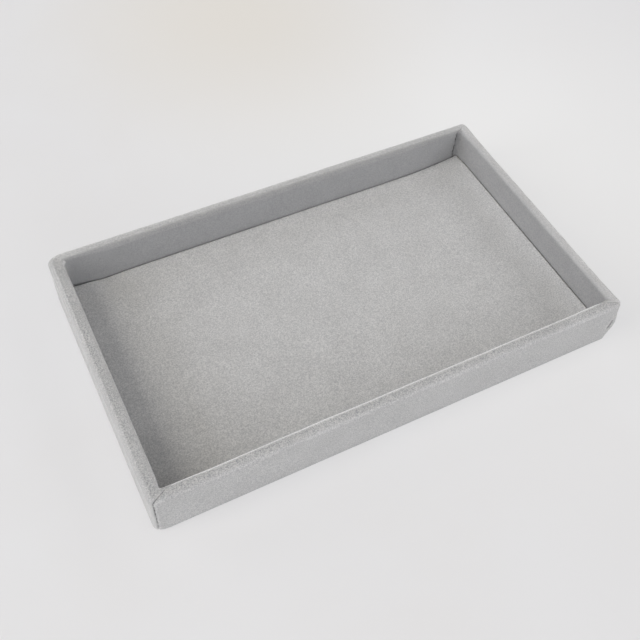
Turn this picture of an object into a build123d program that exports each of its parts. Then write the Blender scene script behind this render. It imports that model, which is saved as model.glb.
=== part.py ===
# Velvet-covered jewelry tray.
# A pinned frame of thin boards with foam on its top edges, dressed in four strips of velvet,
# with a separate velvet-wrapped panel lying inside as the floor.
# Millimetres. +X runs along the long side to the right, +Y to the back, +Z up.
# The origin is the centre of the underside.

import os

from build123d import *

os.makedirs("parts", exist_ok=True)

# Outside of the tray, over the velvet
tray_length = 210.0
tray_width = 125.0
tray_height = 25.0

# Frame of boards
wall_thickness = 4.0
base_thickness = 2.5
board_corner_radius = 2.2
base_edge_radius = 0.7

# Foam strip on the top edge of every wall board
rim_foam_thickness = 1.8
rim_foam_outer_radius = 1.6
rim_foam_inner_radius = 0.5

# Velvet, with its pile, pulled tight over board and foam
velvet_thickness = 0.8
under_flap_width = 12.0
inner_flap_width = 6.0
left_strip_wrap = 2.7
right_strip_wrap = 2.0

# Backing sheet under the base
sheet_thickness = 0.5
sheet_inset = 4.0
sheet_corner_radius = 2.0

# Floor panel
floor_clearance = 0.4
floor_card_thickness = 1.0
floor_foam_thickness = 1.0
floor_foam_edge_radius = 0.5
floor_corner_radius = 0.6
floor_turn_in_width = 10.0

# Brads of flat wire, with a T head and a chisel point
brad_width = 0.9
brad_wire_thickness = 0.7
brad_length = 14.0
brad_point_length = 1.2
brad_head_width = 1.5
brad_head_thickness = 0.4
corner_brad_height_shares = (0.25, 0.75)
long_wall_brad_shares = (-0.36, 0.0, 0.36)
short_wall_brad_shares = (-0.25, 0.25)

# How far a cutting block runs past the face that it cuts
overrun = 2.0

# A round is kept to this part of the board or foam that carries it
largest_round_share = 0.9

# Heights
flap_bottom = sheet_thickness
base_bottom = flap_bottom + velvet_thickness
base_top = base_bottom + base_thickness
flap_top = base_top + velvet_thickness
card_bottom = flap_top + velvet_thickness
card_top = card_bottom + floor_card_thickness
floor_foam_top = card_top + floor_foam_thickness
floor_top = floor_foam_top + velvet_thickness
foam_top = tray_height - velvet_thickness
board_top = foam_top - rim_foam_thickness

# Plan sizes
frame_length = tray_length - 2 * velvet_thickness
frame_width = tray_width - 2 * velvet_thickness
frame_inside_length = frame_length - 2 * wall_thickness
frame_inside_width = frame_width - 2 * wall_thickness
inside_length = frame_inside_length - 2 * velvet_thickness
inside_width = frame_inside_width - 2 * velvet_thickness
card_length = inside_length - 2 * (floor_clearance + velvet_thickness)
card_width = inside_width - 2 * (floor_clearance + velvet_thickness)

# Rounds, held inside the pieces that carry them; a corner's round leaves room for the brads beside it
frame_corner_round = min(board_corner_radius, wall_thickness - (brad_head_width + brad_width) / 2)
base_edge_round = min(base_edge_radius, largest_round_share * min(base_thickness, frame_corner_round))
foam_outer_round = min(
    rim_foam_outer_radius,
    largest_round_share * min(rim_foam_thickness, frame_corner_round),
)
foam_inner_round = min(
    rim_foam_inner_radius,
    largest_round_share * min(rim_foam_thickness, wall_thickness - foam_outer_round),
)
floor_corner_round = min(floor_corner_radius, largest_round_share * card_width / 2)
floor_edge_round = min(
    floor_foam_edge_radius,
    largest_round_share * min(floor_foam_thickness, floor_corner_round),
)


def tray_form(skin):
    """The frame and its rim foam as one block, grown by the thickness of a skin on every side."""
    with BuildPart() as form:
        with BuildSketch(Plane.XY.offset(base_bottom - skin)):
            RectangleRounded(frame_length + 2 * skin, frame_width + 2 * skin, frame_corner_round + skin)
        extrude(amount=foam_top - base_bottom + 2 * skin)
        with BuildSketch(Plane.XY.offset(base_top + skin)):
            Rectangle(frame_inside_length - 2 * skin, frame_inside_width - 2 * skin)
        extrude(amount=foam_top - base_top + overrun, mode=Mode.SUBTRACT)
        rim = form.faces().sort_by(Axis.Z)[-1]
        fillet(rim.outer_wire().edges(), foam_outer_round + skin)
        rim = form.faces().sort_by(Axis.Z)[-1]
        fillet(rim.inner_wires()[0].edges(), foam_inner_round + skin)
        underside = form.faces().sort_by(Axis.Z)[0]
        fillet(underside.outer_wire().edges(), base_edge_round + skin)
    return form.part


def floor_form(skin, bottom):
    """Card and foam of the floor panel as one block from a given height, grown by a skin."""
    with BuildPart() as form:
        with BuildSketch(Plane.XY.offset(bottom)):
            RectangleRounded(card_length + 2 * skin, card_width + 2 * skin, floor_corner_round + skin)
        extrude(amount=floor_foam_top + skin - bottom)
        panel_top = form.faces().sort_by(Axis.Z)[-1]
        fillet(panel_top.edges(), floor_edge_round + skin)
    return form.part


def upright_plane(start, end):
    """A vertical plane through two points in plan, its normal to the left of the way from start to end."""
    along = Vector(*end) - Vector(*start)
    return Plane(origin=start, x_dir=along, z_dir=Vector(0, 0, 1).cross(along))


def flat_brad():
    """One brad: the top of its head at the origin, its point along +Z, its wide side along X."""
    with BuildPart() as brad:
        with BuildSketch(Plane.XZ):
            with BuildLine():
                Polyline(
                    (0, 0),
                    (brad_head_width / 2, 0),
                    (brad_head_width / 2, brad_head_thickness),
                    (brad_width / 2, brad_head_thickness),
                    (brad_width / 2, brad_length - brad_point_length),
                    (0, brad_length),
                )
                mirror(about=Plane.YZ)
            make_face()
        extrude(amount=brad_wire_thickness / 2, both=True)
    return brad.part


one_brad = flat_brad()

# Brads at the four butt joints, driven through the long walls into the ends of the short walls
wall_centre_x = (frame_length - wall_thickness) / 2
wall_centre_y = (frame_width - wall_thickness) / 2
wall_height = board_top - base_top
corner_brad_x = frame_length / 2 - max(wall_thickness / 2, frame_corner_round + brad_head_width / 2)

with BuildPart() as corner_brads:
    for end in (-1, 1):
        for side in (-1, 1):
            for height_share in corner_brad_height_shares:
                head = (end * corner_brad_x, side * frame_width / 2, base_top + height_share * wall_height)
                with Locations(Plane(origin=head, x_dir=(1, 0, 0), z_dir=(0, -side, 0)).location):
                    add(one_brad)
corner_brads.part.label = "corner_brads"
export_step(corner_brads.part, "parts/corner_brads.step")

# Brads driven up through the base into the middle of every wall
with BuildPart() as base_brads:
    for side in (-1, 1):
        for share in long_wall_brad_shares:
            with Locations((share * frame_length, side * wall_centre_y, base_bottom)):
                add(one_brad)
        for share in short_wall_brad_shares:
            with Locations(Location((side * wall_centre_x, share * frame_width, base_bottom), (0, 0, 90))):
                add(one_brad)
base_brads.part.label = "base_brads"
export_step(base_brads.part, "parts/base_brads.step")

# Base board, with its lower edge eased where the velvet turns under
with BuildPart() as base_board:
    with BuildSketch(Plane.XY.offset(base_bottom)):
        RectangleRounded(frame_length, frame_width, frame_corner_round)
    extrude(amount=base_thickness)
    fillet(base_board.faces().sort_by(Axis.Z)[0].edges(), base_edge_round)
    add(base_brads.part, mode=Mode.SUBTRACT)
base_board.part.label = "base_board"
export_step(base_board.part, "parts/base_board.step")

# Long wall boards, with rounded outer corners
with BuildPart() as front_wall_board:
    with BuildSketch(Plane.XY.offset(base_top)):
        with Locations((0, -wall_centre_y)):
            Rectangle(frame_length, wall_thickness)
    extrude(amount=wall_height)
    fillet(front_wall_board.edges().filter_by(Axis.Z).group_by(Axis.Y)[0], frame_corner_round)
    add(corner_brads.part, mode=Mode.SUBTRACT)
    add(base_brads.part, mode=Mode.SUBTRACT)
front_wall_board.part.label = "front_wall_board"
export_step(front_wall_board.part, "parts/front_wall_board.step")

with BuildPart() as back_wall_board:
    mirror(front_wall_board.part, about=Plane.XZ)
back_wall_board.part.label = "back_wall_board"
export_step(back_wall_board.part, "parts/back_wall_board.step")

# Short wall boards, held between the long ones
with BuildPart() as left_wall_board:
    with BuildSketch(Plane.XY.offset(base_top)):
        with Locations((-wall_centre_x, 0)):
            Rectangle(wall_thickness, frame_inside_width)
    extrude(amount=wall_height)
    add(corner_brads.part, mode=Mode.SUBTRACT)
    add(base_brads.part, mode=Mode.SUBTRACT)
left_wall_board.part.label = "left_wall_board"
export_step(left_wall_board.part, "parts/left_wall_board.step")

with BuildPart() as right_wall_board:
    mirror(left_wall_board.part, about=Plane.YZ)
right_wall_board.part.label = "right_wall_board"
export_step(right_wall_board.part, "parts/right_wall_board.step")

# Rim foam: the rounded top of the block above the boards. Each strip is what its own half of
# the block holds between two mitres.
frame_block = tray_form(0)
foam_foot = Plane.XY.offset(board_top)
inner_corner = (frame_inside_length / 2, frame_inside_width / 2)
outer_corner = (frame_length / 2, frame_width / 2)
front_left_mitre = upright_plane((-outer_corner[0], -outer_corner[1]), (-inner_corner[0], -inner_corner[1]))
front_right_mitre = upright_plane((outer_corner[0], -outer_corner[1]), (inner_corner[0], -inner_corner[1]))
back_left_mitre = upright_plane((-outer_corner[0], outer_corner[1]), (-inner_corner[0], inner_corner[1]))

with BuildPart() as front_rim_foam:
    add(frame_block)
    split(bisect_by=foam_foot, keep=Keep.TOP)
    split(bisect_by=Plane.XZ, keep=Keep.TOP)
    split(bisect_by=front_left_mitre, keep=Keep.BOTTOM)
    split(bisect_by=front_right_mitre, keep=Keep.TOP)
front_rim_foam.part.label = "front_rim_foam"
export_step(front_rim_foam.part, "parts/front_rim_foam.step")

with BuildPart() as back_rim_foam:
    mirror(front_rim_foam.part, about=Plane.XZ)
back_rim_foam.part.label = "back_rim_foam"
export_step(back_rim_foam.part, "parts/back_rim_foam.step")

with BuildPart() as left_rim_foam:
    add(frame_block)
    split(bisect_by=foam_foot, keep=Keep.TOP)
    split(bisect_by=Plane.YZ, keep=Keep.BOTTOM)
    split(bisect_by=front_left_mitre, keep=Keep.TOP)
    split(bisect_by=back_left_mitre, keep=Keep.BOTTOM)
left_rim_foam.part.label = "left_rim_foam"
export_step(left_rim_foam.part, "parts/left_rim_foam.step")

with BuildPart() as right_rim_foam:
    mirror(left_rim_foam.part, about=Plane.YZ)
right_rim_foam.part.label = "right_rim_foam"
export_step(right_rim_foam.part, "parts/right_rim_foam.step")

# Velvet round the frame: a skin over the whole block, open under the base and over the floor
# except for the turned-in flaps
with BuildPart() as wall_velvet:
    add(tray_form(velvet_thickness))
    add(frame_block, mode=Mode.SUBTRACT)
    with BuildSketch(Plane.XY.offset(flap_bottom)):
        Rectangle(tray_length - 2 * under_flap_width, tray_width - 2 * under_flap_width)
    extrude(amount=velvet_thickness, mode=Mode.SUBTRACT)
    with BuildSketch(Plane.XY.offset(base_top)):
        Rectangle(inside_length - 2 * inner_flap_width, inside_width - 2 * inner_flap_width)
    extrude(amount=velvet_thickness, mode=Mode.SUBTRACT)

# Seams: the left strip passes round both left corners on to the long walls, and the long
# strips pass round the right corners on to the right wall. Over the rim every seam runs
# to the inner corner.
left_seam_x = -tray_length / 2 + left_strip_wrap
right_seam_y = tray_width / 2 - right_strip_wrap
front_left_seam = upright_plane((left_seam_x, -tray_width / 2), (-inside_length / 2, -inside_width / 2))
back_left_seam = upright_plane((left_seam_x, tray_width / 2), (-inside_length / 2, inside_width / 2))
front_right_seam = upright_plane((tray_length / 2, -right_seam_y), (inside_length / 2, -inside_width / 2))
back_right_seam = upright_plane((tray_length / 2, right_seam_y), (inside_length / 2, inside_width / 2))

with BuildPart() as front_wall_velvet:
    add(wall_velvet.part)
    split(bisect_by=Plane.XZ, keep=Keep.TOP)
    split(bisect_by=front_left_seam, keep=Keep.BOTTOM)
    split(bisect_by=front_right_seam, keep=Keep.TOP)
front_wall_velvet.part.label = "front_wall_velvet"
export_step(front_wall_velvet.part, "parts/front_wall_velvet.step")

with BuildPart() as back_wall_velvet:
    mirror(front_wall_velvet.part, about=Plane.XZ)
back_wall_velvet.part.label = "back_wall_velvet"
export_step(back_wall_velvet.part, "parts/back_wall_velvet.step")

with BuildPart() as left_wall_velvet:
    add(wall_velvet.part)
    split(bisect_by=Plane.YZ, keep=Keep.BOTTOM)
    split(bisect_by=front_left_seam, keep=Keep.TOP)
    split(bisect_by=back_left_seam, keep=Keep.BOTTOM)
left_wall_velvet.part.label = "left_wall_velvet"
export_step(left_wall_velvet.part, "parts/left_wall_velvet.step")

with BuildPart() as right_wall_velvet:
    add(wall_velvet.part)
    split(bisect_by=Plane.YZ, keep=Keep.TOP)
    split(bisect_by=front_right_seam, keep=Keep.BOTTOM)
    split(bisect_by=back_right_seam, keep=Keep.TOP)
right_wall_velvet.part.label = "right_wall_velvet"
export_step(right_wall_velvet.part, "parts/right_wall_velvet.step")

# Floor panel: card, thin foam on top, and velvet that wraps both and turns in underneath
with BuildPart() as floor_card:
    with BuildSketch(Plane.XY.offset(card_bottom)):
        RectangleRounded(card_length, card_width, floor_corner_round)
    extrude(amount=floor_card_thickness)
floor_card.part.label = "floor_card"
export_step(floor_card.part, "parts/floor_card.step")

with BuildPart() as floor_foam:
    add(floor_form(0, card_top))
floor_foam.part.label = "floor_foam"
export_step(floor_foam.part, "parts/floor_foam.step")

with BuildPart() as floor_velvet:
    add(floor_form(velvet_thickness, flap_top))
    add(floor_form(0, card_bottom), mode=Mode.SUBTRACT)
    with BuildSketch(Plane.XY.offset(flap_top)):
        Rectangle(card_length - 2 * floor_turn_in_width, card_width - 2 * floor_turn_in_width)
    extrude(amount=velvet_thickness, mode=Mode.SUBTRACT)
floor_velvet.part.label = "floor_velvet"
export_step(floor_velvet.part, "parts/floor_velvet.step")

# Backing sheet over the turned-in velvet
with BuildPart() as underside_sheet:
    with BuildSketch():
        RectangleRounded(tray_length - 2 * sheet_inset, tray_width - 2 * sheet_inset, sheet_corner_radius)
    extrude(amount=sheet_thickness)
underside_sheet.part.label = "underside_sheet"
export_step(underside_sheet.part, "parts/underside_sheet.step")
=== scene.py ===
"""Looks of a velvet-covered jewelry tray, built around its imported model.

Metres. +X runs along the long side to the right, +Y to the back, +Z up.
"""

import math

import bpy
import numpy as np
from mathutils import Matrix, Vector, noise


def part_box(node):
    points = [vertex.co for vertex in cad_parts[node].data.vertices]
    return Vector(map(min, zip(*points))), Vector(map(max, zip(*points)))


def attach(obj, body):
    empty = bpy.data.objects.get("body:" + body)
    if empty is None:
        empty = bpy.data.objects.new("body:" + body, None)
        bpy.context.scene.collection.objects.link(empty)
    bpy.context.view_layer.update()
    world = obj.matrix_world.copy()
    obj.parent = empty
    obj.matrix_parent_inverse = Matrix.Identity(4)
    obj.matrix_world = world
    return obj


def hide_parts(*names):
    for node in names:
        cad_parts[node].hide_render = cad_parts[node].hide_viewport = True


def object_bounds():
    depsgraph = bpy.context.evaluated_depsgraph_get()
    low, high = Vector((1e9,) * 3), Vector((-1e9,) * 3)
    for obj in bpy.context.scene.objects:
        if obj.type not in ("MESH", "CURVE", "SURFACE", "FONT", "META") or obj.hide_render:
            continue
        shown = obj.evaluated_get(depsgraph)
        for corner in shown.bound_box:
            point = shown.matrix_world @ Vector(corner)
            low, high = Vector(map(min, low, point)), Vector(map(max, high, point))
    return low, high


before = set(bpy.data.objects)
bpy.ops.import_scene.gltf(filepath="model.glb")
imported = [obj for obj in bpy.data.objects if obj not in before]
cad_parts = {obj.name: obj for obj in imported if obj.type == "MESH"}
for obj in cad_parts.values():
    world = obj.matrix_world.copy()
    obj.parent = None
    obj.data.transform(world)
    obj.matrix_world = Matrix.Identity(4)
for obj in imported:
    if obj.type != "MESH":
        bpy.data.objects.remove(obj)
cad_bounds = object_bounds()

MM = 0.001

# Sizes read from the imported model
tray_low, tray_high = cad_bounds
half_length = (tray_high.x - tray_low.x) / 2
half_width = (tray_high.y - tray_low.y) / 2
rim_height = tray_high.z
base_low, base_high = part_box("base_board")
wall_low, wall_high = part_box("left_wall_board")
panel_low, panel_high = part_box("floor_velvet")
pad_low, pad_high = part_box("floor_foam")
velvet_thickness = rim_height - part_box("left_rim_foam")[1].z
under_flap_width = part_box("left_wall_velvet")[1].x - tray_low.x

# Sizes of the wall strips that the boxes above don't hold
shoulder_radius = 2.4 * MM
lower_edge_radius = 0.9 * MM
fold_radius = 0.4 * MM
inner_flap_width = 6.0 * MM
cloth_body = 0.7 * MM
seam_overlap = 0.25 * MM

# How far from a seam the section starts to turn into the corner's, and how far above the boards
# the corner has its radius on the rim
corner_stretch = 18 * MM
soft_corner_rise = 1.6 * MM

# How far under the cloth's face its padding lies, the least radius of the padding's inner edge,
# how far it ends before a seam, and how close its points lie
under_cloth = 0.85 * MM
least_pad_radius = 0.5 * MM
pad_end_gap = 0.1 * MM
pad_step = 1.6 * MM

# The cloth is kept this far off the boards' faces and off their rounded corners
face_cover = 0.1 * MM
corner_cover = 0.12 * MM
board_corner_radius = 2.2 * MM
inner_board_face = wall_high.x - wall_low.x + velvet_thickness + face_cover

# How strongly the tufts show on the walls' inner faces and on the floor
inner_pile = 0.34
floor_pile = 0.57


# Small helpers

def linear(hex_colour):
    """An sRGB hex colour as linear red, green, blue and alpha."""
    channels = [int(hex_colour[i:i + 2], 16) / 255 for i in (1, 3, 5)]
    return [c / 12.92 if c <= 0.04045 else ((c + 0.055) / 1.055) ** 2.4 for c in channels] + [1.0]


def add_node(tree, kind, settings=None, **links):
    """A node with its settings; links give an input's name or number a value or an output socket."""
    node = tree.nodes.new(kind)
    for name, value in (settings or {}).items():
        setattr(node, name, value)
    for name, value in links.items():
        key = int(name[1:]) if name[0] == "i" and name[1:].isdigit() else name.replace("_", " ")
        if isinstance(value, bpy.types.NodeSocket):
            tree.links.new(value, node.inputs[key])
        else:
            node.inputs[key].default_value = value
    return node


def ripple(point, size, seed):
    """Smooth noise from -1 to 1 whose bumps are about one size across."""
    return noise.noise(Vector(point) / size + Vector((seed, 2.3 * seed, 5.1 * seed)))


def waves(point, kinds):
    """Ripples added up in mm; each kind has a height and a size in mm, and a seed."""
    return sum(height * ripple(point, size * MM, seed) for height, size, seed in kinds)


def ease(share):
    """0 to 1 with level ends."""
    share = min(1, max(0, share))
    return share * share * (3 - 2 * share)


def bell(away):
    """1 at 0, falling off on both sides to almost nothing at 2."""
    return math.exp(-(away ** 2))


def weighted(shares, values):
    """A sum of values, each taken by its share."""
    return sum(share * value for share, value in zip(shares, values))


def way_to(azimuth, elevation):
    """The way that leads off at an azimuth (0 is the front, 90 the right) and an elevation."""
    a, e = math.radians(azimuth), math.radians(elevation)
    return Vector((math.sin(a) * math.cos(e), -math.cos(a) * math.cos(e), math.sin(e)))


def steps(*stretches):
    """Distances from 0 up, in stretches of (length, step)."""
    marks = [0.0]
    for length, step in stretches:
        start, count = marks[-1], max(1, round(length / step))
        marks += [start + length * (i + 1) / count for i in range(count)]
    return np.array(marks)


def mirrored(marks):
    """Distances in from an end, as places on both sides of the line's middle."""
    places = marks[-1] - marks
    return np.concatenate([-places, places[::-1][1:]])


def mesh_piece(name, points, faces, nap_and_painted_light=None, speckle=None):
    """A smooth mesh object. Where pile values are given, the first says at each point how light the pile
    looks, 1 for its own colour, with painted light and shade in it besides the pile's lay, and speckle
    how strongly its tufts show."""
    mesh = bpy.data.meshes.new(name)
    mesh.from_pydata([tuple(point) for point in points], [], faces)
    mesh.shade_smooth()
    if nap_and_painted_light is not None:
        mesh.attributes.new("nap_and_painted_light", "FLOAT", "POINT").data.foreach_set("value", nap_and_painted_light)
        mesh.attributes.new("speckle", "FLOAT", "POINT").data.foreach_set("value", speckle)
    piece = bpy.data.objects.new(name, mesh)
    bpy.context.scene.collection.objects.link(piece)
    return piece


def grid_faces(rows, columns, closed=False):
    """Quads of a grid of points, rows by columns; closed joins the last row to the first."""
    index = np.arange(rows * columns).reshape(rows, columns)
    if closed:
        index = np.vstack([index, index[:1]])
    quads = [index[:-1, :-1], index[:-1, 1:], index[1:, 1:], index[1:, :-1]]
    return np.stack(quads, axis=-1).reshape(-1, 4).tolist()


def give_body(piece, thickness):
    """Thickness on the side away from the faces, so that the piece is a closed shell."""
    solid = piece.modifiers.new("body", "SOLIDIFY")
    solid.thickness = thickness
    solid.offset = -1


# Walls. Each strip of velvet starts with a flap under the base, goes up the outside, over the
# padded rim and down the inside, and ends with a flap on the base, under the floor panel.
# Every wall is worked out along X and then turned by its degrees. half is half its length, and
# across how far its outer face lies from the tray's middle.
# Hand-laid cloth and padding are a little fuller on one wall than on another. In mm: depth is
# from the outer to the inner face, shoulder the radius of the rim's inner edge, and lean how far
# the outer face leans in at the top.
# The pile lies another way on each wall: outer, rim and inside say how light it looks there, as
# the pile's lay together with painted light and shade: inside holds painted shade of the tray's inside,
# and the outer and rim tones differ from wall to wall partly as painted sheen. rim_from says at what
# depth the rim's starts, fade from where to where it turns into the inner face's (mm on from the inner
# edge), and edge how much painted highlight lies along that edge (painted shade where below 0). glow is
# how much painted highlight lies on the rim's outer shoulder, at a depth glow_at and as far as
# glow_reach round it. pile and face_pile are how strongly the tufts show on the rim and the outer face.

walls = {
    "front": {
        "turn": 0, "half": half_length, "across": half_width,
        "depth": 5.35, "shoulder": 2.5, "lean": 0.0,
        "outer": 1.03, "rim": 0.985, "rim_from": 0.8, "inside": 0.77, "fade": (0.6, 1.8), "edge": 0.95,
        "glow": 0.09, "glow_at": 0.25, "glow_reach": 0.5, "pile": 0.85, "face_pile": 0.65,
    },
    "right": {
        "turn": 90, "half": half_width, "across": half_length,
        "depth": 5.35, "shoulder": 1.6, "lean": 0.5,
        "outer": 1.0, "rim": 1.15, "rim_from": 0.0, "inside": 0.63, "fade": (-2.2, 2.3), "edge": 0.0,
        "glow": 0.26, "glow_at": 1.3, "glow_reach": 1.2, "pile": 0.4, "face_pile": 0.5,
    },
    "back": {
        "turn": 180, "half": half_length, "across": half_width,
        "depth": 5.4, "shoulder": 1.8, "lean": 0.0,
        "outer": 1.0, "rim": 1.08, "rim_from": 0.0, "inside": 0.81, "fade": (-1.8, 0.7), "edge": -0.12,
        "glow": 0.40, "glow_at": 0.9, "glow_reach": 1.1, "pile": 0.6, "face_pile": 0.5,
    },
    "left": {
        "turn": 270, "half": half_width, "across": half_length,
        "depth": 6.2, "shoulder": 0.9, "lean": 0.0,
        "outer": 0.85, "rim": 0.94, "rim_from": 2.6, "inside": 0.77, "fade": (0.6, 1.3), "edge": 0.5,
        "glow": 0.15, "glow_at": 1.5, "glow_reach": 0.9, "pile": 0.85, "face_pile": 0.32,
    },
}

# At each corner, from one wall to the next, in mm: how far the first wall's strip passes the
# corner outside (wrap) and inside (lap), the corner's radius outside, over the boards and on the
# rim, and inside (hollow), at the floor and on the rim, how deep the cloth rolls in at the seam on
# the outer face, the rim and the inner face, how dark the painted shade in the seam's groove is
# there, from 0 to 1, how uneven both are, and how far its dark line strays
corners = [
    {
        "walls": ("front", "right"), "wrap": 0.8, "lap": -6.0,
        "radius": (3.0, 2.6), "hollow": (0.8, 0.8),
        "rolls": (0.35, 0.35, 0.05), "dark": (0.0, 0.28, 0.0), "uneven": 0.3, "stray": 0.1,
    },
    {
        "walls": ("right", "back"), "wrap": -2.0, "lap": 2.2,
        "radius": (3.2, 3.2), "hollow": (1.0, 1.0),
        "rolls": (0.30, 0.10, 0.40), "dark": (0.2, 0.05, 0.6), "uneven": 0.7, "stray": 0.8,
    },
    {
        "walls": ("back", "left"), "wrap": -1.4, "lap": 0.0,
        "radius": (4.4, 5.8), "hollow": (1.6, 3.6),
        "rolls": (0.25, 0.02, 0.02), "dark": (0.2, 0.0, 0.0), "uneven": 0.1, "stray": 0.0,
    },
    {
        "walls": ("left", "front"), "wrap": 1.1, "lap": 5.0,
        "radius": (3.0, 3.0), "hollow": (0.5, 0.5),
        "rolls": (0.30, 0.12, 0.05), "dark": (0.42, 0.22, 0.0), "uneven": 0.9, "stray": 0.15,
    },
]

# Places where the cloth stands off more, in mm: the middle, how far it reaches each way, how
# much it stands off, and how much painted light is added to the pile there (painted shade where below 0)
swells = [
    {"at": (104.2, -61.8, 11.5), "reach": (3.6, 4, 6.5), "height": 1.25, "light": 0.03},
    {"at": (101.4, 59.6, 25), "reach": (1.8, 1.8, 3), "height": 0.35, "light": 0.10},
    {"at": (-90, -57.5, 24.6), "reach": (22, 2.5, 2.5), "height": -0.40, "light": 0},
    {"at": (-90, -62.5, 24.6), "reach": (20, 1.6, 1.6), "height": 0, "light": -0.08},
    {"at": (100.0, 57.3, 24.4), "reach": (0.7, 0.7, 1.0), "height": -0.5, "light": -0.15},
]

# Pulled creases, in mm: their two ends, how far the cloth sinks in, how dark the painted shade in
# the crease is, and how strong the painted highlight beside it is
creases = [
    {"ends": ((102.0, -62.5, 14.6), (101.3, -62.5, 9.6)), "sink": 0.40, "dark": 0.65, "light": 0.12},
]
crease_width = 0.35
beside_crease = 0.9

# A swell ends this many times its reach away, and a crease ends this many mm away
swell_end = 3
crease_end = 3

# Long creases pulled along the left wall's outer shoulder, in mm: the depth and height of each,
# how far the cloth sinks in and how wide, how strong the painted highlight between them is, where
# and how wide, and how far all of it wanders. They are faint up to a place along the wall and grow
# to their full strength behind it.
left_creases = ((0.25, 23.5), (1.3, 24.75))
left_crease_sink = 0.18
left_crease_width = 0.4
between_painted_highlight = 0.10
between_creases = (0.65, 24.3)
between_width = 0.45
crease_wander = 0.5
crease_wander_size = 25
faint_share = 0.25
faint_up_to = 10
crease_growth = 30


def straight(start, end, count, facing):
    """Points of a section from start up to end, each as depth, height and the way it faces."""
    return [
        (start[0] + (end[0] - start[0]) * i / count, start[1] + (end[1] - start[1]) * i / count, *facing)
        for i in range(count)
    ]


def bend(centre, radius, start_deg, end_deg, count, hollow=False):
    """Points of a section round an arc, up to its end."""
    points = []
    for i in range(count):
        angle = math.radians(start_deg + (end_deg - start_deg) * i / count)
        way = (math.cos(angle), math.sin(angle))
        facing = (-way[0], -way[1]) if hollow else way
        points.append((centre[0] + radius * way[0], centre[1] + radius * way[1], *facing))
    return points


def cloth_section(face_depth, inn):
    """The velvet strip's section; inn is the radius of the rim's inner edge. Each stretch has as
    many points as its curve needs to look smooth."""
    foot = base_low.z - velvet_thickness
    flap = base_high.z + velvet_thickness
    low, out, top, fold = lower_edge_radius, shoulder_radius, rim_height, fold_radius
    return np.array(
        straight((under_flap_width, foot), (low, foot), 8, (0, -1))
        + bend((low, foot + low), low, 270, 180, 6)
        + straight((0, foot + low), (0, top - out), 27, (-1, 0))
        + bend((out, top - out), out, 180, 90, 15)
        + straight((out, top), (face_depth - inn, top), 6, (0, 1))
        + bend((face_depth - inn, top - inn), inn, 90, 0, 12)
        + straight((face_depth, top - inn), (face_depth, flap + fold), 22, (1, 0))
        + bend((face_depth + fold, flap + fold), fold, 180, 270, 3, hollow=True)
        + straight((face_depth + fold, flap), (face_depth + inner_flap_width, flap), 4, (0, 1))
        + [(face_depth + inner_flap_width, flap, 0, 1)]
    )


def wall_ends(side):
    """What a wall meets at each end: the corner, wrap and lap as seen from this wall, the next
    wall's depth, and the radius that both rims' inner edges come to."""
    ends = []
    for place in (1, 0):
        corner = next(corner for corner in corners if corner["walls"][place] == side)
        other, way = walls[corner["walls"][1 - place]], 1 - 2 * place
        ends.append({
            "corner": corner,
            "wrap": way * corner["wrap"] * MM,
            "lap": way * corner["lap"] * MM,
            "radius": np.array(corner["radius"]) * MM,
            "hollow": np.array(corner["hollow"]) * MM,
            "next_depth": other["depth"] * MM,
            "shoulder": (walls[side]["shoulder"] + other["shoulder"]) / 2 * MM,
        })
    return ends


def along_wall(depth, height, reach, wall, end):
    """Where a point lies that is a given way along the wall from its middle, at a depth in from
    the outer face, and the way that the wall faces there. The wall runs along X at -across, and
    the way goes on round the corner, to the like depth of the next wall. The corner's radius
    changes over the padding above the boards, and its hollow between the floor and the rim."""
    side, reach = math.copysign(1, reach), abs(reach)
    soft = ease((height - wall_high.z) / soft_corner_rise)
    radius = end["radius"][0] * (1 - soft) + end["radius"][1] * soft
    full, next_full = wall["depth"] * MM, end["next_depth"]
    beyond = np.interp(
        depth, (0, shoulder_radius, full, 2 * full), (0, shoulder_radius, next_full, next_full + full)
    )
    rise = ease((height - panel_high.z) / (wall_high.z - panel_high.z))
    hollow = (end["hollow"][0] * (1 - rise) + end["hollow"][1] * rise) * min(1, depth / full)
    turn_x, turn_y = max(radius - beyond, hollow), max(radius - depth, hollow)
    flat = wall["half"] - beyond - turn_x
    arc = (turn_x + turn_y) / 2 * math.pi / 2
    near = depth - wall["across"]
    if reach <= flat:
        return (side * reach, near), (0, -1)
    if reach < flat + arc:
        angle = (reach - flat) / arc * math.pi / 2
        place = (side * (flat + turn_x * math.sin(angle)), near + turn_y * (1 - math.cos(angle)))
        return place, (side * math.sin(angle), -math.cos(angle))
    return (side * (wall["half"] - beyond), near + turn_y + reach - flat - arc), (side, 0)


# The height in mm at which an inner seam starts to move off the corner, and over how much height
# it comes to its whole lap. The seam's place is found by halving a stretch that ends past it.
lap_from = 3
lap_rise = 9
past_seam = 12 * MM
seam_halvings = 40


def seam_reach(depth, height, wall, end):
    """How far along the wall the seam lies at a place in the section. In plan it is straight from
    the outer face to the inner one, where a lap moves it off the corner, and mitred in the flap.
    A wrap or lap above 0 takes it on to the next wall's face."""
    half, across, full = wall["half"], wall["across"], wall["depth"] * MM
    wrap, lap = end["wrap"], end["lap"]
    if depth < full / 2 or height < base_low.z:
        lap *= ease((height / MM - lap_from) / lap_rise)
    start = (half, -across + wrap) if wrap > 0 else (half + wrap, -across)
    inner_x, inner_y = half - end["next_depth"], -across + full
    finish = (inner_x, inner_y + lap) if lap > 0 else (inner_x + lap, inner_y)
    if depth > full and height > base_low.z:
        start, finish = finish, (finish[0] - MM, finish[1] + MM)
    near, far = half / 2, half + past_seam
    for _ in range(seam_halvings):
        middle = (near + far) / 2
        x, y = along_wall(depth, height, middle, wall, end)[0]
        past = (x - start[0]) * (finish[1] - start[1]) - (y - start[1]) * (finish[0] - start[0])
        near, far = (middle, far) if past < 0 else (near, middle)
    return near


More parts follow.
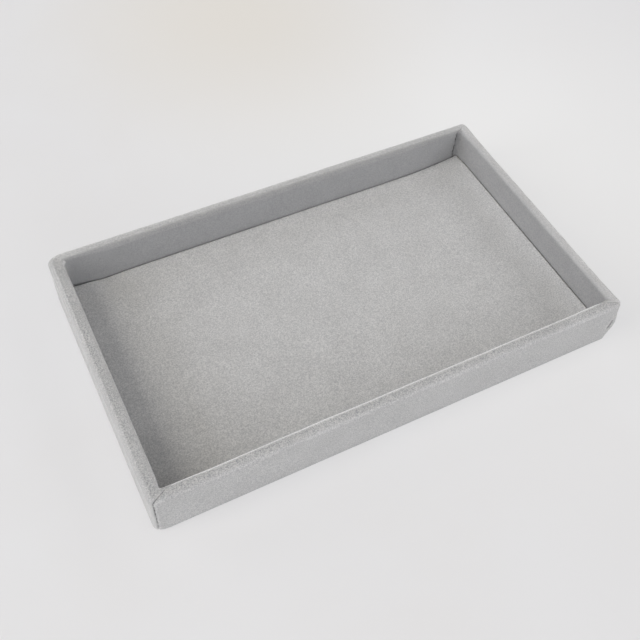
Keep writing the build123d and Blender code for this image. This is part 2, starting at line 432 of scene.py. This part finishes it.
# Over how many mm the pile's tone turns from the outer face's to the rim's
nap_turn = 1.2

# How far inwards the rim's inner edge faces where its painted highlight is lightest, from 0 to 1, how
# widely round that, and how far up a place has to face to belong to that edge
edge_facing = 0.70
edge_spread = 0.28
edge_least_up = 0.1


def pile_and_painted_light(wall, depth, height, face_in, face_up):
    """How light the pile looks at a place in the section: its lay, with painted shade on the inner face
    and painted highlights along the rim's inner edge and on its outer shoulder.
    """
    depth_mm, full = depth / MM, wall["depth"]
    on_rim = ease((depth_mm - wall["rim_from"] + nap_turn / 2) / nap_turn)
    light = wall["outer"] + (wall["rim"] - wall["outer"]) * on_rim
    if depth_mm > full / 2 and height > base_low.z:
        past = depth_mm - full + (rim_height - height) / MM
        fade_from, fade_to = wall["fade"]
        light += (wall["inside"] - light) * ease((past - fade_from) / (fade_to - fade_from))
        if face_up > edge_least_up:
            light += wall["edge"] * bell((face_in - edge_facing) / edge_spread)
    if height > rim_height - shoulder_radius:
        light += wall["glow"] * bell((depth_mm - wall["glow_at"]) / wall["glow_reach"])
    return light


# Waves of hand-laid cloth, each as height and size in mm and a seed: everywhere, and on the padded
# rim, which is less even. The wavy face lies a little inside the true one.
cloth_waves = ((0.10, 26, 11), (0.05, 7, 12), (0.03, 1.8, 14))
rim_waves = ((0.10, 10, 13), (0.07, 4, 15))
wavy_inset = 0.12


def surface_wave(point, up):
    """How far hand-laid cloth stands off its true surface; up is 1 where it faces up."""
    return MM * (waves(point, cloth_waves) + up * waves(point, rim_waves) - wavy_inset)


def swell_at(point):
    """How much more the cloth stands off at a point, and the painted light that its pile gets there
    (painted shade where below 0).
    """
    height = light = 0
    for swell in swells:
        offsets = [(p / MM - q) / r for p, q, r in zip(point, swell["at"], swell["reach"])]
        away = math.hypot(*offsets)
        if away < swell_end:
            height += swell["height"] * MM * bell(away)
            light += swell["light"] * bell(away)
    return height, light


def crease_at(point):
    """How far the cloth sinks in at a point for the creases, and the painted shade in them and painted
    highlight beside them.
    """
    sink = light = 0
    for crease in creases:
        first, last = (Vector(end) * MM for end in crease["ends"])
        along = min(1, max(0, (point - first).dot(last - first) / (last - first).length_squared))
        away = (point - first.lerp(last, along)).length / MM
        if away < crease_end:
            sink += crease["sink"] * MM * bell(away / crease_width)
            light -= crease["dark"] * bell(away / crease_width)
            light += crease["light"] * bell((away - beside_crease) / crease_width)
    return sink, light


def left_crease(point, depth, height):
    """How far the cloth sinks into the left wall's creases, and the painted highlight between them."""
    strength = faint_share + (1 - faint_share) * ease((point.y / MM - faint_up_to) / crease_growth)
    wander = crease_wander * ripple((0, point.y, 0), crease_wander_size * MM, 31)
    place = (depth / MM - wander, height / MM)
    sink = left_crease_sink * MM * strength * sum(
        bell(math.dist(place, crease) / left_crease_width) for crease in left_creases
    )
    light = between_painted_highlight * strength * bell(math.dist(place, between_creases) / between_width)
    return sink, light


# The back wall's inner face, in mm: how much fuller it is, how far from the tray's ends that
# starts, and over what length it comes, on the left and on the right
back_fullness = 1.4
bulge_from_end = 6
bulge_ramps = (24, 30)


def back_bulge(x):
    """How much fuller the back wall's inner face is at a place along it."""
    ramp = bulge_ramps[0 if x < 0 else 1] * MM
    return back_fullness * MM * ease((half_length - abs(x) - bulge_from_end * MM) / ramp)


def over_board(point):
    """The point, moved out in plan where it would lie inside the rounded corner of the boards."""
    half_x = -wall_low.x - board_corner_radius
    half_y = base_high.y - board_corner_radius
    away = Vector((abs(point.x) - half_x, abs(point.y) - half_y))
    least = board_corner_radius + corner_cover
    if min(away) <= 0 or away.length >= least:
        return point
    away = away.normalized() * least
    return Vector((
        math.copysign(half_x + away.x, point.x), math.copysign(half_y + away.y, point.y), point.z
    ))


# What share of a wall's depth turns from each face into the rim
face_share = 0.4


def parts_at(depth, full):
    """How far a place belongs to the outer face, to the rim and to the inner face."""
    outside = ease(1 - depth / (face_share * full))
    inside = ease((depth / full - (1 - face_share)) / face_share)
    return outside, 1 - outside - inside, inside


# Seams: how wide the cloth rolls in and by what share that varies at most, how wide the dark line
# of painted shade in the groove is and how dark it gets at most, and the sizes of the places where
# the roll is deeper, where it is wider and where the line strays
seam_roll_width = 0.7 * MM
most_varied_share = 0.6
seam_line_width = 0.36 * MM
darkest_seam = 0.8
deeper_size = 1.2 * MM
wider_size = 2.6 * MM
stray_size = 1.3 * MM

# At the foot of a seam the cloth is tucked in, this deep, and as far along and as high as this
foot_tuck = 0.9 * MM
tuck_reach = 4 * MM
tuck_height = 3.5 * MM


def seam_at(point, to_seam, height, parts, corner, way):
    """How far the cloth sinks in near a seam, and what share of its light it keeps under the painted
    shade in the seam's groove. way is 1 or -1, for the end of the wall that the seam is at."""
    uneven = corner["uneven"]
    patchy = 1 + 2 * uneven * ripple(point, deeper_size, 3)
    roll = patchy * weighted(parts, corner["rolls"])
    dark = patchy * weighted(parts, corner["dark"])
    width = seam_roll_width * (1 + min(most_varied_share, uneven) * ripple(point, wider_size, 4))
    stray = way * corner["stray"] * MM * ripple(point, stray_size, 5)
    tuck = ease(1 - to_seam / tuck_reach) * max(0, 1 - height / tuck_height) ** 2
    sink = max(0, 1 - to_seam / width) ** 2 * roll * MM + foot_tuck * tuck
    return sink, 1 - min(darkest_seam, dark) * bell((to_seam - stray) / seam_line_width)


# The outer foot of the cloth hangs down towards the table: how far, and to what depth and height
foot_sag = 0.40 * MM
sag_from = 1.0 * MM
sag_reach = 2.4 * MM

# How close a strip's points lie: a stretch and its step at the seam, the next such stretch, and the
# step along the rest of the wall
at_seam = (1.2 * MM, 0.12 * MM)
near_seam = (8.8 * MM, 0.4 * MM)
along_step = 0.7 * MM


def wall_strip(side):
    """One wall's velvet strip from seam to seam."""
    wall = walls[side]
    full = wall["depth"] * MM
    ends = wall_ends(side)
    rows = cloth_section(full, wall["shoulder"] * MM)
    end_rows = [cloth_section(full, end["shoulder"]) for end in ends]
    reaches = np.array([
        [seam_reach(*row[:2], wall, end) for row, end in zip(pair, ends)] for pair in zip(*end_rows)
    ])
    marks = mirrored(steps(at_seam, near_seam, (wall["half"] - at_seam[0] - near_seam[0], along_step)))
    marks /= marks[-1]
    turn = Matrix.Rotation(math.radians(wall["turn"]), 3, "Z")
    points, nap_and_painted_light, speckle = [], [], []
    for i, row_reaches in enumerate(reaches):
        for mark in marks:
            which = int(mark > 0)
            end, seam = ends[which], row_reaches[which]
            reach = mark * (seam + seam_overlap)
            to_seam = seam - abs(reach)
            near = ease(1 - to_seam / corner_stretch)
            depth, height, face_in, face_up = rows[i] * (1 - near) + end_rows[which][i] * near
            parts = parts_at(depth, full)
            outside, inside = parts[0], parts[2]

            # The nominal surface
            (x, y), (out_x, out_y) = along_wall(depth, height, reach, wall, end)
            lean = wall["lean"] * MM * (height / rim_height) * outside * (1 - near)
            point = turn @ Vector((x - lean * out_x, y - lean * out_y, height))
            facing = turn @ Vector((-face_in * out_x, -face_in * out_y, face_up))

            # How far hand-laid cloth stands off it, and how light its pile looks, painted light and shade
            # included
            above = height > base_low.z
            in_tray = above and depth > full / 2
            under_panel = in_tray and height < panel_high.z
            shift = surface_wave(point, max(0, face_up)) if above and not under_panel else 0
            if side == "back" and in_tray:
                shift += back_bulge(point.x) * max(0, face_in)
            swell, glow = swell_at(point)
            sink, shade = crease_at(point)
            shift += swell - sink
            light = pile_and_painted_light(wall, depth, height, face_in, face_up) + glow + shade

            # The hanging foot, the seam with its painted shade, and the left wall's creases with painted
            # highlights between them
            sag = ease(1 - (depth - sag_from) / sag_reach) * ease(1 - height / sag_reach)
            point.z -= foot_sag * sag
            sink, kept = seam_at(point, to_seam, height, parts, end["corner"], 2 * which - 1)
            shift -= sink
            light *= kept
            if side == "left" and above:
                sink, glow = left_crease(point, depth, height)
                shift -= sink
                light += glow

            # The boards hold the cloth out
            if height < wall_high.z:
                least = (inner_board_face - full) * inside - (velvet_thickness - face_cover) * (1 - inside)
                shift = max(shift, least)
            point += facing * shift
            if outside > 0.5 and base_low.z < height < wall_high.z:
                point = over_board(point)
            points.append(point)
            nap_and_painted_light.append(light)
            speckle.append(weighted(parts, (wall["face_pile"], wall["pile"], inner_pile)))
    piece = mesh_piece(f"{side}_velvet", points, grid_faces(len(rows), len(marks)), nap_and_painted_light, speckle)
    give_body(piece, cloth_body)
    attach(piece, "root")
    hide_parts(f"{side}_wall_velvet")
    return piece


def pad_section(face_depth, inn):
    """The rim padding's closed section, crowned, on the top edge of the wall board."""
    outer, inner = under_cloth, face_depth - under_cloth
    foot, top = wall_high.z, rim_height - under_cloth
    out, inn = shoulder_radius - under_cloth, max(least_pad_radius, inn - under_cloth)
    return np.array(
        straight((outer, foot), (outer, top - out), 1, (-1, 0))
        + bend((outer + out, top - out), out, 180, 90, 9)
        + straight((outer + out, top), (inner - inn, top), 5, (0, 1))
        + bend((inner - inn, top - inn), inn, 90, 0, 5)
        + straight((inner, top - inn), (inner, foot), 2, (1, 0))
        + straight((inner, foot), (outer, foot), 6, (0, 0))
    )


def rim_pad(side):
    """The foam strip under the rim's velvet, with the same waves as the cloth over it."""
    wall = walls[side]
    rows = pad_section(wall["depth"] * MM, wall["shoulder"] * MM)
    ends = wall_ends(side)
    reaches = [[seam_reach(*row[:2], wall, end) - pad_end_gap for end in ends] for row in rows]
    count = round(2 * wall["half"] / pad_step)
    turn = Matrix.Rotation(math.radians(wall["turn"]), 3, "Z")
    points = []
    for (depth, height, face_in, face_up), row_reaches in zip(rows, reaches):
        for j in range(count + 1):
            mark = 2 * j / count - 1
            which = int(mark > 0)
            reach = mark * row_reaches[which]
            (x, y), (out_x, out_y) = along_wall(depth, height, reach, wall, ends[which])
            point = turn @ Vector((x, y, height))
            facing = turn @ Vector((-face_in * out_x, -face_in * out_y, face_up))
            points.append(point + facing * surface_wave(point, max(0, face_up)))
    faces = grid_faces(len(rows), count + 1, closed=True)
    first = [i * (count + 1) for i in range(len(rows))]
    faces += [first, [i + count for i in reversed(first)]]
    piece = mesh_piece(f"{side}_rim_pad", points, faces)
    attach(piece, "root")
    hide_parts(f"{side}_rim_foam")
    return piece


# Floor panel. Its velvet is pulled over the edges of the padded card and turned in under it.

panel_gap = 0.25 * MM
panel_corner_radius = 1.4 * MM
panel_edge_radius = 0.9 * MM
panel_lower_radius = 0.5 * MM
turn_in_width = 10 * MM
cover_step = 1.0 * MM
pad_sheet_step = 2.0 * MM

# Along this stretch at the panel's edges, points lie closer together, by this step
panel_edge = (4 * MM, 0.4 * MM)

# How far the fold at a corner reaches past its mitre, as a share of how far in the turn-in lies
mitre_fold_share = 0.3

# The foam sheet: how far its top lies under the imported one, its edge's radius, how far it ends
# above the card, and the thickness of its skin
pad_drop = 0.1 * MM
pad_edge_radius = 0.5 * MM
pad_foot_gap = 0.3 * MM
pad_skin = 0.3 * MM

# The opening between the walls
inside_low = Vector((
    -half_length + walls["left"]["depth"] * MM, -half_width + walls["front"]["depth"] * MM, 0
))
inside_high = Vector((
    half_length - walls["right"]["depth"] * MM, half_width - walls["back"]["depth"] * MM, 0
))

# How the panel lies, in mm. It is pressed in, so that its right edge rides up, and less so at the
# back: how far up, how soon that ends, what share of it the back takes off, and how soon that ends
right_ride = 2.8
ride_reach = 4.5
back_share = 0.45
back_reach = 6

# Its back edge is dented, and stands off the wall near the left end: the place along the tray,
# how far down or in it goes, and how far it reaches
dent_x = -85
dent_depth = 1.0
dent_reach = (5.5, 7)
wide_gap_x = -95
wide_gap = 0.7
wide_gap_reach = 8

# How far the back and the right edge lie in from their true places, apart from waves; below 0
# the edge is pressed into the wall's pile. This dies away over edge_reach.
back_edge_in = 0.03
right_edge_in = -0.27
edge_reach = 8
panel_waves = ((0.12, 30, 61), (0.05, 9, 62), (0.02, 2.4, 63))
back_edge_waves = ((0.15, 24, 64),)
right_edge_waves = ((0.05, 20, 65),)


def panel_shift(x, y, rise):
    """How a point of the floor panel moves off its true place; rise is 0 at the foot, 1 on top."""
    to_right, to_back = (inside_high.x - x) / MM, (inside_high.y - y) / MM
    lift = right_ride * math.exp(-to_right / ride_reach) * (1 - back_share * bell(to_back / back_reach))
    lift -= dent_depth * bell((x / MM - dent_x) / dent_reach[0]) * bell(to_back / dent_reach[1])
    lift += waves((x, y, 0), panel_waves)
    back_in = back_bulge(x) / MM + back_edge_in + waves((x, 0, 0), back_edge_waves)
    back_in += wide_gap * ease(1 - abs(x / MM - wide_gap_x) / wide_gap_reach)
    right_in = right_edge_in + waves((0, y, 0), right_edge_waves)
    return MM * Vector((
        -right_in * ease(1 - to_right / edge_reach), -back_in * ease(1 - to_back / edge_reach), lift * rise
    ))


def panel_profile(top, foot):
    """How far out from the corner's centre line, and how high, the wrapped cloth runs."""
    radius, edge, low = panel_corner_radius, panel_edge_radius, panel_lower_radius
    facing = (0, 0)
    points = (
        straight((0, top), (radius - edge, top), 2, facing)
        + bend((radius - edge, top - edge), edge, 90, 0, 6)
        + straight((radius, top - edge), (radius, foot + low), 4, facing)
        + bend((radius - low, foot + low), low, 0, -90, 3)
        + straight((radius - low, foot), (radius - turn_in_width, foot), 8, facing)
        + [(radius - turn_in_width, foot, 0, 0)]
    )
    return [point[:2] for point in points]


def round_corner(out, level, beyond_x, beyond_y):
    """How far a corner's point moves in x and y from the arcs' centre. Rings run round the corner
    outside that centre, and the turn-ins inside it meet in a mitre."""
    share_x, share_y = abs(beyond_x) / level, abs(beyond_y) / level
    angle = math.pi / 4 * (share_y if share_x == 1 else 2 - share_x)
    if out >= 0:
        moves = (out * math.cos(angle), out * math.sin(angle))
    else:
        aside = angle / (math.pi / 4) - 1
        moves = (out * (1 + mitre_fold_share * max(0, aside)), out * (1 + mitre_fold_share * max(0, -aside)))
    return [move * math.copysign(1, beyond) for move, beyond in zip(moves, (beyond_x, beyond_y))]


def wrapped_panel(low, high, profile, step):
    """A cloth over a rectangle from low to high, with its edges brought down and turned in."""
    radius = panel_corner_radius
    middle = ((low.x + high.x) / 2, (low.y + high.y) / 2)
    flat = ((high.x - low.x) / 2 - radius, (high.y - low.y) / 2 - radius)
    beyond = range(1, len(profile))
    lines = []
    for half in flat:
        marks = mirrored(steps(panel_edge, (half - panel_edge[0], step)))
        before, after = [(-half, -k) for k in reversed(beyond)], [(half, k) for k in beyond]
        lines.append(before + [(mark, 0) for mark in marks] + after)
    points = []
    for y, beyond_y in lines[1]:
        for x, beyond_x in lines[0]:
            level = max(abs(beyond_x), abs(beyond_y))
            out, height = profile[level]
            place = [x, y]
            if beyond_x and beyond_y:
                for axis, move in enumerate(round_corner(out, level, beyond_x, beyond_y)):
                    place[axis] += move
            elif level:
                along, across = (1, 0) if beyond_x else (0, 1)
                place[across] += math.copysign(1, beyond_x or beyond_y) * out
                if out < 0:
                    place[along] *= (flat[along] + (1 + mitre_fold_share) * out) / flat[along]
            rise = (height - profile[-1][1]) / (profile[0][1] - profile[-1][1])
            true = Vector((middle[0] + place[0], middle[1] + place[1], height))
            points.append(true + panel_shift(true.x, true.y, rise))
    return points, grid_faces(len(lines[1]), len(lines[0]))


# How light the floor's pile looks, and the painted shade that the left wall casts along its left
# edge, the painted shade along its right edge and the painted light on the place before it: how much,
# from where, and over how many mm
floor_light = 1.165
left_painted_shade = 0.11
left_edge_from = 5
left_edge_over = 6
right_painted_shade = 0.10
right_edge_over = 7
ridge_painted_light = 0.05
ridge_from_right = 10
ridge_over = 5


def floor_pile_and_painted_light(from_left, from_right):
    """How light the floor's pile looks at a place, with painted shade along the panel's left and right
    edges and painted light before the right one; in mm from the panel's left and right edge.
    """
    light = floor_light * (1 - left_painted_shade * ease(1 - (from_left - left_edge_from) / left_edge_over))
    ridge = ridge_painted_light * bell((from_right - ridge_from_right) / ridge_over)
    return light * (1 + ridge - right_painted_shade * ease(1 - from_right / right_edge_over))


def floor_cover():
    """The floor panel's velvet."""
    profile = panel_profile(panel_high.z, panel_low.z)
    low = inside_low + Vector((panel_gap, panel_gap, 0))
    high = inside_high - Vector((panel_gap, panel_gap, 0))
    points, faces = wrapped_panel(low, high, profile, cover_step)
    nap_and_painted_light = [floor_pile_and_painted_light((point.x - low.x) / MM, (high.x - point.x) / MM) for point in points]
    piece = mesh_piece("floor_cover", points, faces, nap_and_painted_light, [floor_pile] * len(points))
    give_body(piece, cloth_body)
    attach(piece, "root")
    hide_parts("floor_velvet")
    return piece


def floor_pad():
    """The thin foam sheet of the floor panel, under its velvet."""
    inset = panel_gap + under_cloth
    low = inside_low + Vector((inset, inset, 0))
    high = inside_high - Vector((inset, inset, 0))
    radius, edge = panel_corner_radius, pad_edge_radius
    top, foot = pad_high.z - pad_drop, pad_low.z + pad_foot_gap
    rounded = [point[:2] for point in bend((radius - edge, top - edge), edge, 90, 0, 4)]
    profile = [(0, top)] + rounded + [(radius, top - edge), (radius, foot)]
    points, faces = wrapped_panel(low, high, profile, pad_sheet_step)
    piece = mesh_piece("floor_pad", points, faces)
    give_body(piece, pad_skin)
    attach(piece, "root")
    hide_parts("floor_foam")
    return piece


# Materials

def principled(name, hex_colour, roughness, sheen=0.0):
    """A material, its tree, its Principled shader and its object coordinates."""
    material = bpy.data.materials.new(name)
    material.use_nodes = True
    tree = material.node_tree
    shader = tree.nodes["Principled BSDF"]
    shader.inputs["Base Color"].default_value = linear(hex_colour)
    shader.inputs["Roughness"].default_value = roughness
    shader.inputs["Sheen Weight"].default_value = sheen
    where = add_node(tree, "ShaderNodeTexCoord").outputs["Object"]
    return material, tree, shader, where


def dye(parts, low_hex, high_hex, grain_size, bump=0.0):
    """Colours a material between two shades by a noise whose grains are one size across."""
    _, tree, shader, where = parts
    grain = add_node(tree, "ShaderNodeTexNoise", Vector=where, Scale=1 / grain_size, Detail=3.0)
    level = add_node(tree, "ShaderNodeMapRange", i0=grain.outputs["Fac"], i1=0.35, i2=0.65)
    colour = add_node(
        tree, "ShaderNodeMix", {"data_type": "RGBA"},
        i0=level.outputs[0], i6=linear(low_hex), i7=linear(high_hex),
    )
    tree.links.new(colour.outputs[2], shader.inputs["Base Color"])
    if bump:
        relief = add_node(tree, "ShaderNodeBump", Strength=0.6, Distance=bump, Height=grain.outputs["Fac"])
        tree.links.new(relief.outputs[0], shader.inputs["Normal"])


def cotton_velvet():
    """Cotton velvet, woven with a short cut pile: matt, with a soft light edge where the pile is
    seen from the side, a fine speckle of tufts, and lighter or darker by a per-point attribute that
    holds the pile's lay together with painted shade and painted highlights."""
    material, tree, shader, where = principled("cut_pile_cotton_velvet", "#B8B8B9", 1.0, sheen=0.6)
    shader.inputs["Sheen Roughness"].default_value = 0.4
    shader.inputs["Specular IOR Level"].default_value = 0.2
    # Real tufts, guessed at 0.3 mm, are too fine to show here, so they are drawn at 0.5 mm
    tuft_size = 0.5 * MM
    patch_size = 11 * MM
    relief_depth = 0.15 * MM
    tuft = add_node(tree, "ShaderNodeTexNoise", Vector=where, Scale=1 / tuft_size, Detail=2.0, Roughness=0.6)
    # The stronger the speckle, the further the darkest and the lightest tufts lie apart
    speckle = add_node(tree, "ShaderNodeAttribute", {"attribute_name": "speckle"}).outputs["Fac"]
    low, high = (
        add_node(tree, "ShaderNodeMath", {"operation": "MULTIPLY_ADD"}, i0=speckle, i1=half, i2=0.5)
        for half in (-0.5, 0.5)
    )
    tuft_level = add_node(
        tree, "ShaderNodeMapRange",
        i0=tuft.outputs["Fac"], i1=0.3, i2=0.7, i3=low.outputs[0], i4=high.outputs[0],
    )
    pile = add_node(
        tree, "ShaderNodeMix", {"data_type": "RGBA"},
        i0=tuft_level.outputs[0], i6=linear("#87898E"), i7=linear("#D5D4D3"),
    )
    patches = add_node(tree, "ShaderNodeTexNoise", Vector=where, Scale=1 / patch_size, Detail=1.0)
    patch_level = add_node(
        tree, "ShaderNodeMapRange", i0=patches.outputs["Fac"], i1=0.3, i2=0.7, i3=0.97, i4=1.03
    )
    # The per-point attribute: the pile's lay, with painted shade and painted highlights in it
    nap_and_painted_light = add_node(tree, "ShaderNodeAttribute", {"attribute_name": "nap_and_painted_light"})
    shade = add_node(
        tree, "ShaderNodeMath", {"operation": "MULTIPLY"}, i0=patch_level.outputs[0], i1=nap_and_painted_light.outputs["Fac"]
    )
    colour = add_node(
        tree, "ShaderNodeVectorMath", {"operation": "SCALE"}, i0=pile.outputs[2], Scale=shade.outputs[0]
    )
    tree.links.new(colour.outputs[0], shader.inputs["Base Color"])
    relief = add_node(
        tree, "ShaderNodeBump", Strength=0.6, Distance=relief_depth, Height=tuft.outputs["Fac"]
    )
    tree.links.new(relief.outputs[0], shader.inputs["Normal"])
    return material


def fibreboard():
    """Medium-density fibreboard, sawn: fine brown fibres, matt. Single fibres are too fine to show,
    so bundles of 0.8 mm are drawn."""
    parts = principled("sawn_mdf", "#B08C63", 0.8)
    dye(parts, "#A17E57", "#BC9A70", 0.8 * MM, bump=0.05 * MM)
    return parts[0]


def grey_card():
    """Grey bookbinder's board, rolled: matt, with flecks of pulp about 0.9 mm across."""
    parts = principled("rolled_grey_board", "#98938B", 0.9)
    dye(parts, "#8A857D", "#A6A199", 0.9 * MM, bump=0.03 * MM)
    return parts[0]


def open_cell_foam():
    """White polyurethane foam, sliced: matt, with open cells about 0.5 mm across."""
    parts = principled("sliced_polyurethane_foam", "#E6E4DC", 0.95)
    dye(parts, "#D9D7CE", "#F0EEE7", 0.5 * MM, bump=0.1 * MM)
    return parts[0]


def drawn_wire():
    """Bright steel wire, drawn and cut: a metal with dull spots. Its drawing lines are too fine to
    show, so the spots are drawn at 0.6 mm."""
    parts = principled("drawn_steel_wire", "#C9C9C6", 0.35)
    parts[2].inputs["Metallic"].default_value = 1.0
    dye(parts, "#BDBDBA", "#D2D2CF", 0.6 * MM)
    return parts[0]


def flocked_paper():
    """Grey flocked paper: matt, with a slight sheen and the specks of fibres about 0.6 mm long."""
    parts = principled("flocked_paper", "#9C9B98", 0.95, sheen=0.2)
    dye(parts, "#929190", "#A6A5A2", 0.6 * MM, bump=0.04 * MM)
    return parts[0]


velvet = cotton_velvet()
foam = open_cell_foam()
for side in walls:
    wall_strip(side).data.materials.append(velvet)
    rim_pad(side).data.materials.append(foam)
floor_cover().data.materials.append(velvet)
floor_pad().data.materials.append(foam)

mdf, wire = fibreboard(), drawn_wire()
cad_finishes = {
    "base_board": mdf,
    **{f"{side}_wall_board": mdf for side in walls},
    "corner_brads": wire,
    "base_brads": wire,
    "floor_card": grey_card(),
    "underside_sheet": flocked_paper(),
}
for node, finish in cad_finishes.items():
    cad_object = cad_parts[node]
    cad_object.data.materials.clear()
    cad_object.data.materials.append(finish)


# Stage: a pale table top and a pale room. Rays from the camera or off a gloss see them at their own
# colours. The others see the table as the lamps light it, and the room's faint light.

table_radius = 6.0
streak_size = 70 * MM

# Two faint places on the table, in metres: x, y and reach, and their colours: a painted pool of light
# by the tray, and a warmer place behind it
table_places = (
    (0.115, 0.06, 0.23, "#EFEFF0"),
    (0.05, 0.22, 0.15, "#E1DCD5"),
)

# Near the tray this share of the table's own colour is seen, and the rest as the lamps light it,
# with the tray's soft shadow. It comes to its whole colour at shadow_reach, in metres, over the
# last part of that way, which fade_share gives.
own_colour_near = 0.7
shadow_reach = 1.5
fade_share = 0.8

# How strongly the room itself lights the tray
room_light = 0.003


def seen_directly(tree):
    """1 for rays from the camera or off a gloss, and 0 for the others."""
    rays = add_node(tree, "ShaderNodeLightPath")
    return add_node(
        tree, "ShaderNodeMath", {"operation": "MAXIMUM"},
        i0=rays.outputs["Is Camera Ray"], i1=rays.outputs["Is Glossy Ray"],
    ).outputs[0]


def closeness(tree, where, x, y, reach):
    """1 at a place, falling evenly to 0 at its reach."""
    place = add_node(
        tree, "ShaderNodeMapping", {"vector_type": "TEXTURE"},
        Vector=where, Location=(x, y, 0), Scale=(reach, reach, reach),
    )
    near = add_node(tree, "ShaderNodeTexGradient", {"gradient_type": "SPHERICAL"}, Vector=place.outputs[0])
    return near.outputs["Fac"]


def painted_table():
    """A smooth painted table top: pale, matt, with faint streaks, a painted pool of light by the tray
    and a faint warmer place behind it."""
    material, tree, shader, where = principled("painted_table", "#E9E8E6", 0.9)
    streaks = add_node(
        tree, "ShaderNodeTexNoise", Vector=where, Scale=1 / streak_size, Detail=4.0, Distortion=0.6
    )
    level = add_node(tree, "ShaderNodeMapRange", i0=streaks.outputs["Fac"], i1=0.3, i2=0.7)
    seen = add_node(
        tree, "ShaderNodeMix", {"data_type": "RGBA"},
        i0=level.outputs[0], i6=linear("#E0DFE1"), i7=linear("#E2E2E5"),
    )
    for x, y, reach, tone in table_places:
        share = add_node(
            tree, "ShaderNodeMapRange", {"interpolation_type": "SMOOTHSTEP"},
            i0=closeness(tree, where, x, y, reach), i1=0.0, i2=1.0,
        )
        seen = add_node(
            tree, "ShaderNodeMix", {"data_type": "RGBA"},
            i0=share.outputs[0], i6=seen.outputs[2], i7=linear(tone),
        )
    glow = add_node(tree, "ShaderNodeEmission", Color=seen.outputs[2], Strength=1.0)
    own_colour = add_node(
        tree, "ShaderNodeMapRange",
        i0=closeness(tree, where, 0, 0, shadow_reach), i1=0.0, i2=fade_share, i3=1.0, i4=own_colour_near,
    )
    share = add_node(
        tree, "ShaderNodeMath", {"operation": "MULTIPLY"}, i0=seen_directly(tree), i1=own_colour.outputs[0]
    )
    mixed = add_node(
        tree, "ShaderNodeMixShader", i0=share.outputs[0], i1=shader.outputs[0], i2=glow.outputs[0]
    )
    tree.links.new(mixed.outputs[0], tree.nodes["Material Output"].inputs["Surface"])
    return material


bpy.ops.mesh.primitive_circle_add(vertices=64, radius=table_radius, fill_type="NGON")
table = bpy.context.object
table.name = "table"
table.data.materials.append(painted_table())

world = bpy.data.worlds.new("room")
bpy.context.scene.world = world
world.use_nodes = True
air = world.node_tree
room = air.nodes["Background"]
room.inputs["Color"].default_value = linear("#FFFFFF")
room.inputs["Strength"].default_value = room_light
seen_room = add_node(air, "ShaderNodeBackground", Color=linear("#E6E5E3"), Strength=1.0)
mixed = add_node(
    air, "ShaderNodeMixShader", i0=seen_directly(air), i1=room.outputs[0], i2=seen_room.outputs[0]
)
air.links.new(mixed.outputs[0], air.nodes["World Output"].inputs["Surface"])

# Soft square lamps, by azimuth, elevation, watts and colour
lamp_distance = 2.0
lamp_size = 1.0
lamps = {
    "window_low": (-90, 19, 22.2, "#FAFBFF"),
    "window_high": (-90, 48, 10.2, "#FFF8E9"),
    "front_left": (-45, 30, 2.4, "#FBFCFF"),
    "front": (0, 16, 12.5, "#FBFCFF"),
    "front_right": (45, 30, 8.0, "#FBFCFF"),
    "right": (90, 35, 5.7, "#FFFCF8"),
    "back_right": (135, 30, 4.2, "#FBFCFF"),
    "back_left": (-135, 27, 8.3, "#FBFCFF"),
    "ceiling": (0, 89, 7.0, "#FFFDF8"),
}
for name, (azimuth, elevation, watts, colour) in lamps.items():
    lamp = bpy.data.objects.new(name, bpy.data.lights.new(name, "AREA"))
    lamp.data.size = lamp_size
    lamp.data.energy = watts
    lamp.data.color = linear(colour)[:3]
    way = way_to(azimuth, elevation)
    lamp.location = way * lamp_distance
    lamp.rotation_euler = way.to_track_quat("Z", "Y").to_euler()
    lamp.visible_camera = False
    bpy.context.scene.collection.objects.link(lamp)

# Camera, at the photograph's angle
view_azimuth = -30.32
view_elevation = 53.45
view_roll = 4.27
view_distance = 380.31 * MM
view_target = Vector((-5.6, -0.36, 0)) * MM
focal_pixels = 863.32
frame_pixels = 640

camera_data = bpy.data.cameras.new("camera")
camera_data.sensor_width = 36
camera_data.lens = focal_pixels / frame_pixels * camera_data.sensor_width
camera_data.clip_start = 0.01
camera_data.clip_end = 30
camera = bpy.data.objects.new("camera", camera_data)
back = way_to(view_azimuth, view_elevation)
level_right = Vector((0, 0, 1)).cross(back).normalized()
level_up = back.cross(level_right)
roll = math.radians(view_roll)
right = math.cos(roll) * level_right + math.sin(roll) * level_up
up = -math.sin(roll) * level_right + math.cos(roll) * level_up
turn = Matrix((right, up, back)).transposed().to_4x4()
camera.matrix_world = Matrix.Translation(view_target + back * view_distance) @ turn
bpy.context.scene.collection.objects.link(camera)
bpy.context.scene.camera = camera

bpy.context.scene.view_settings.view_transform = "Standard"
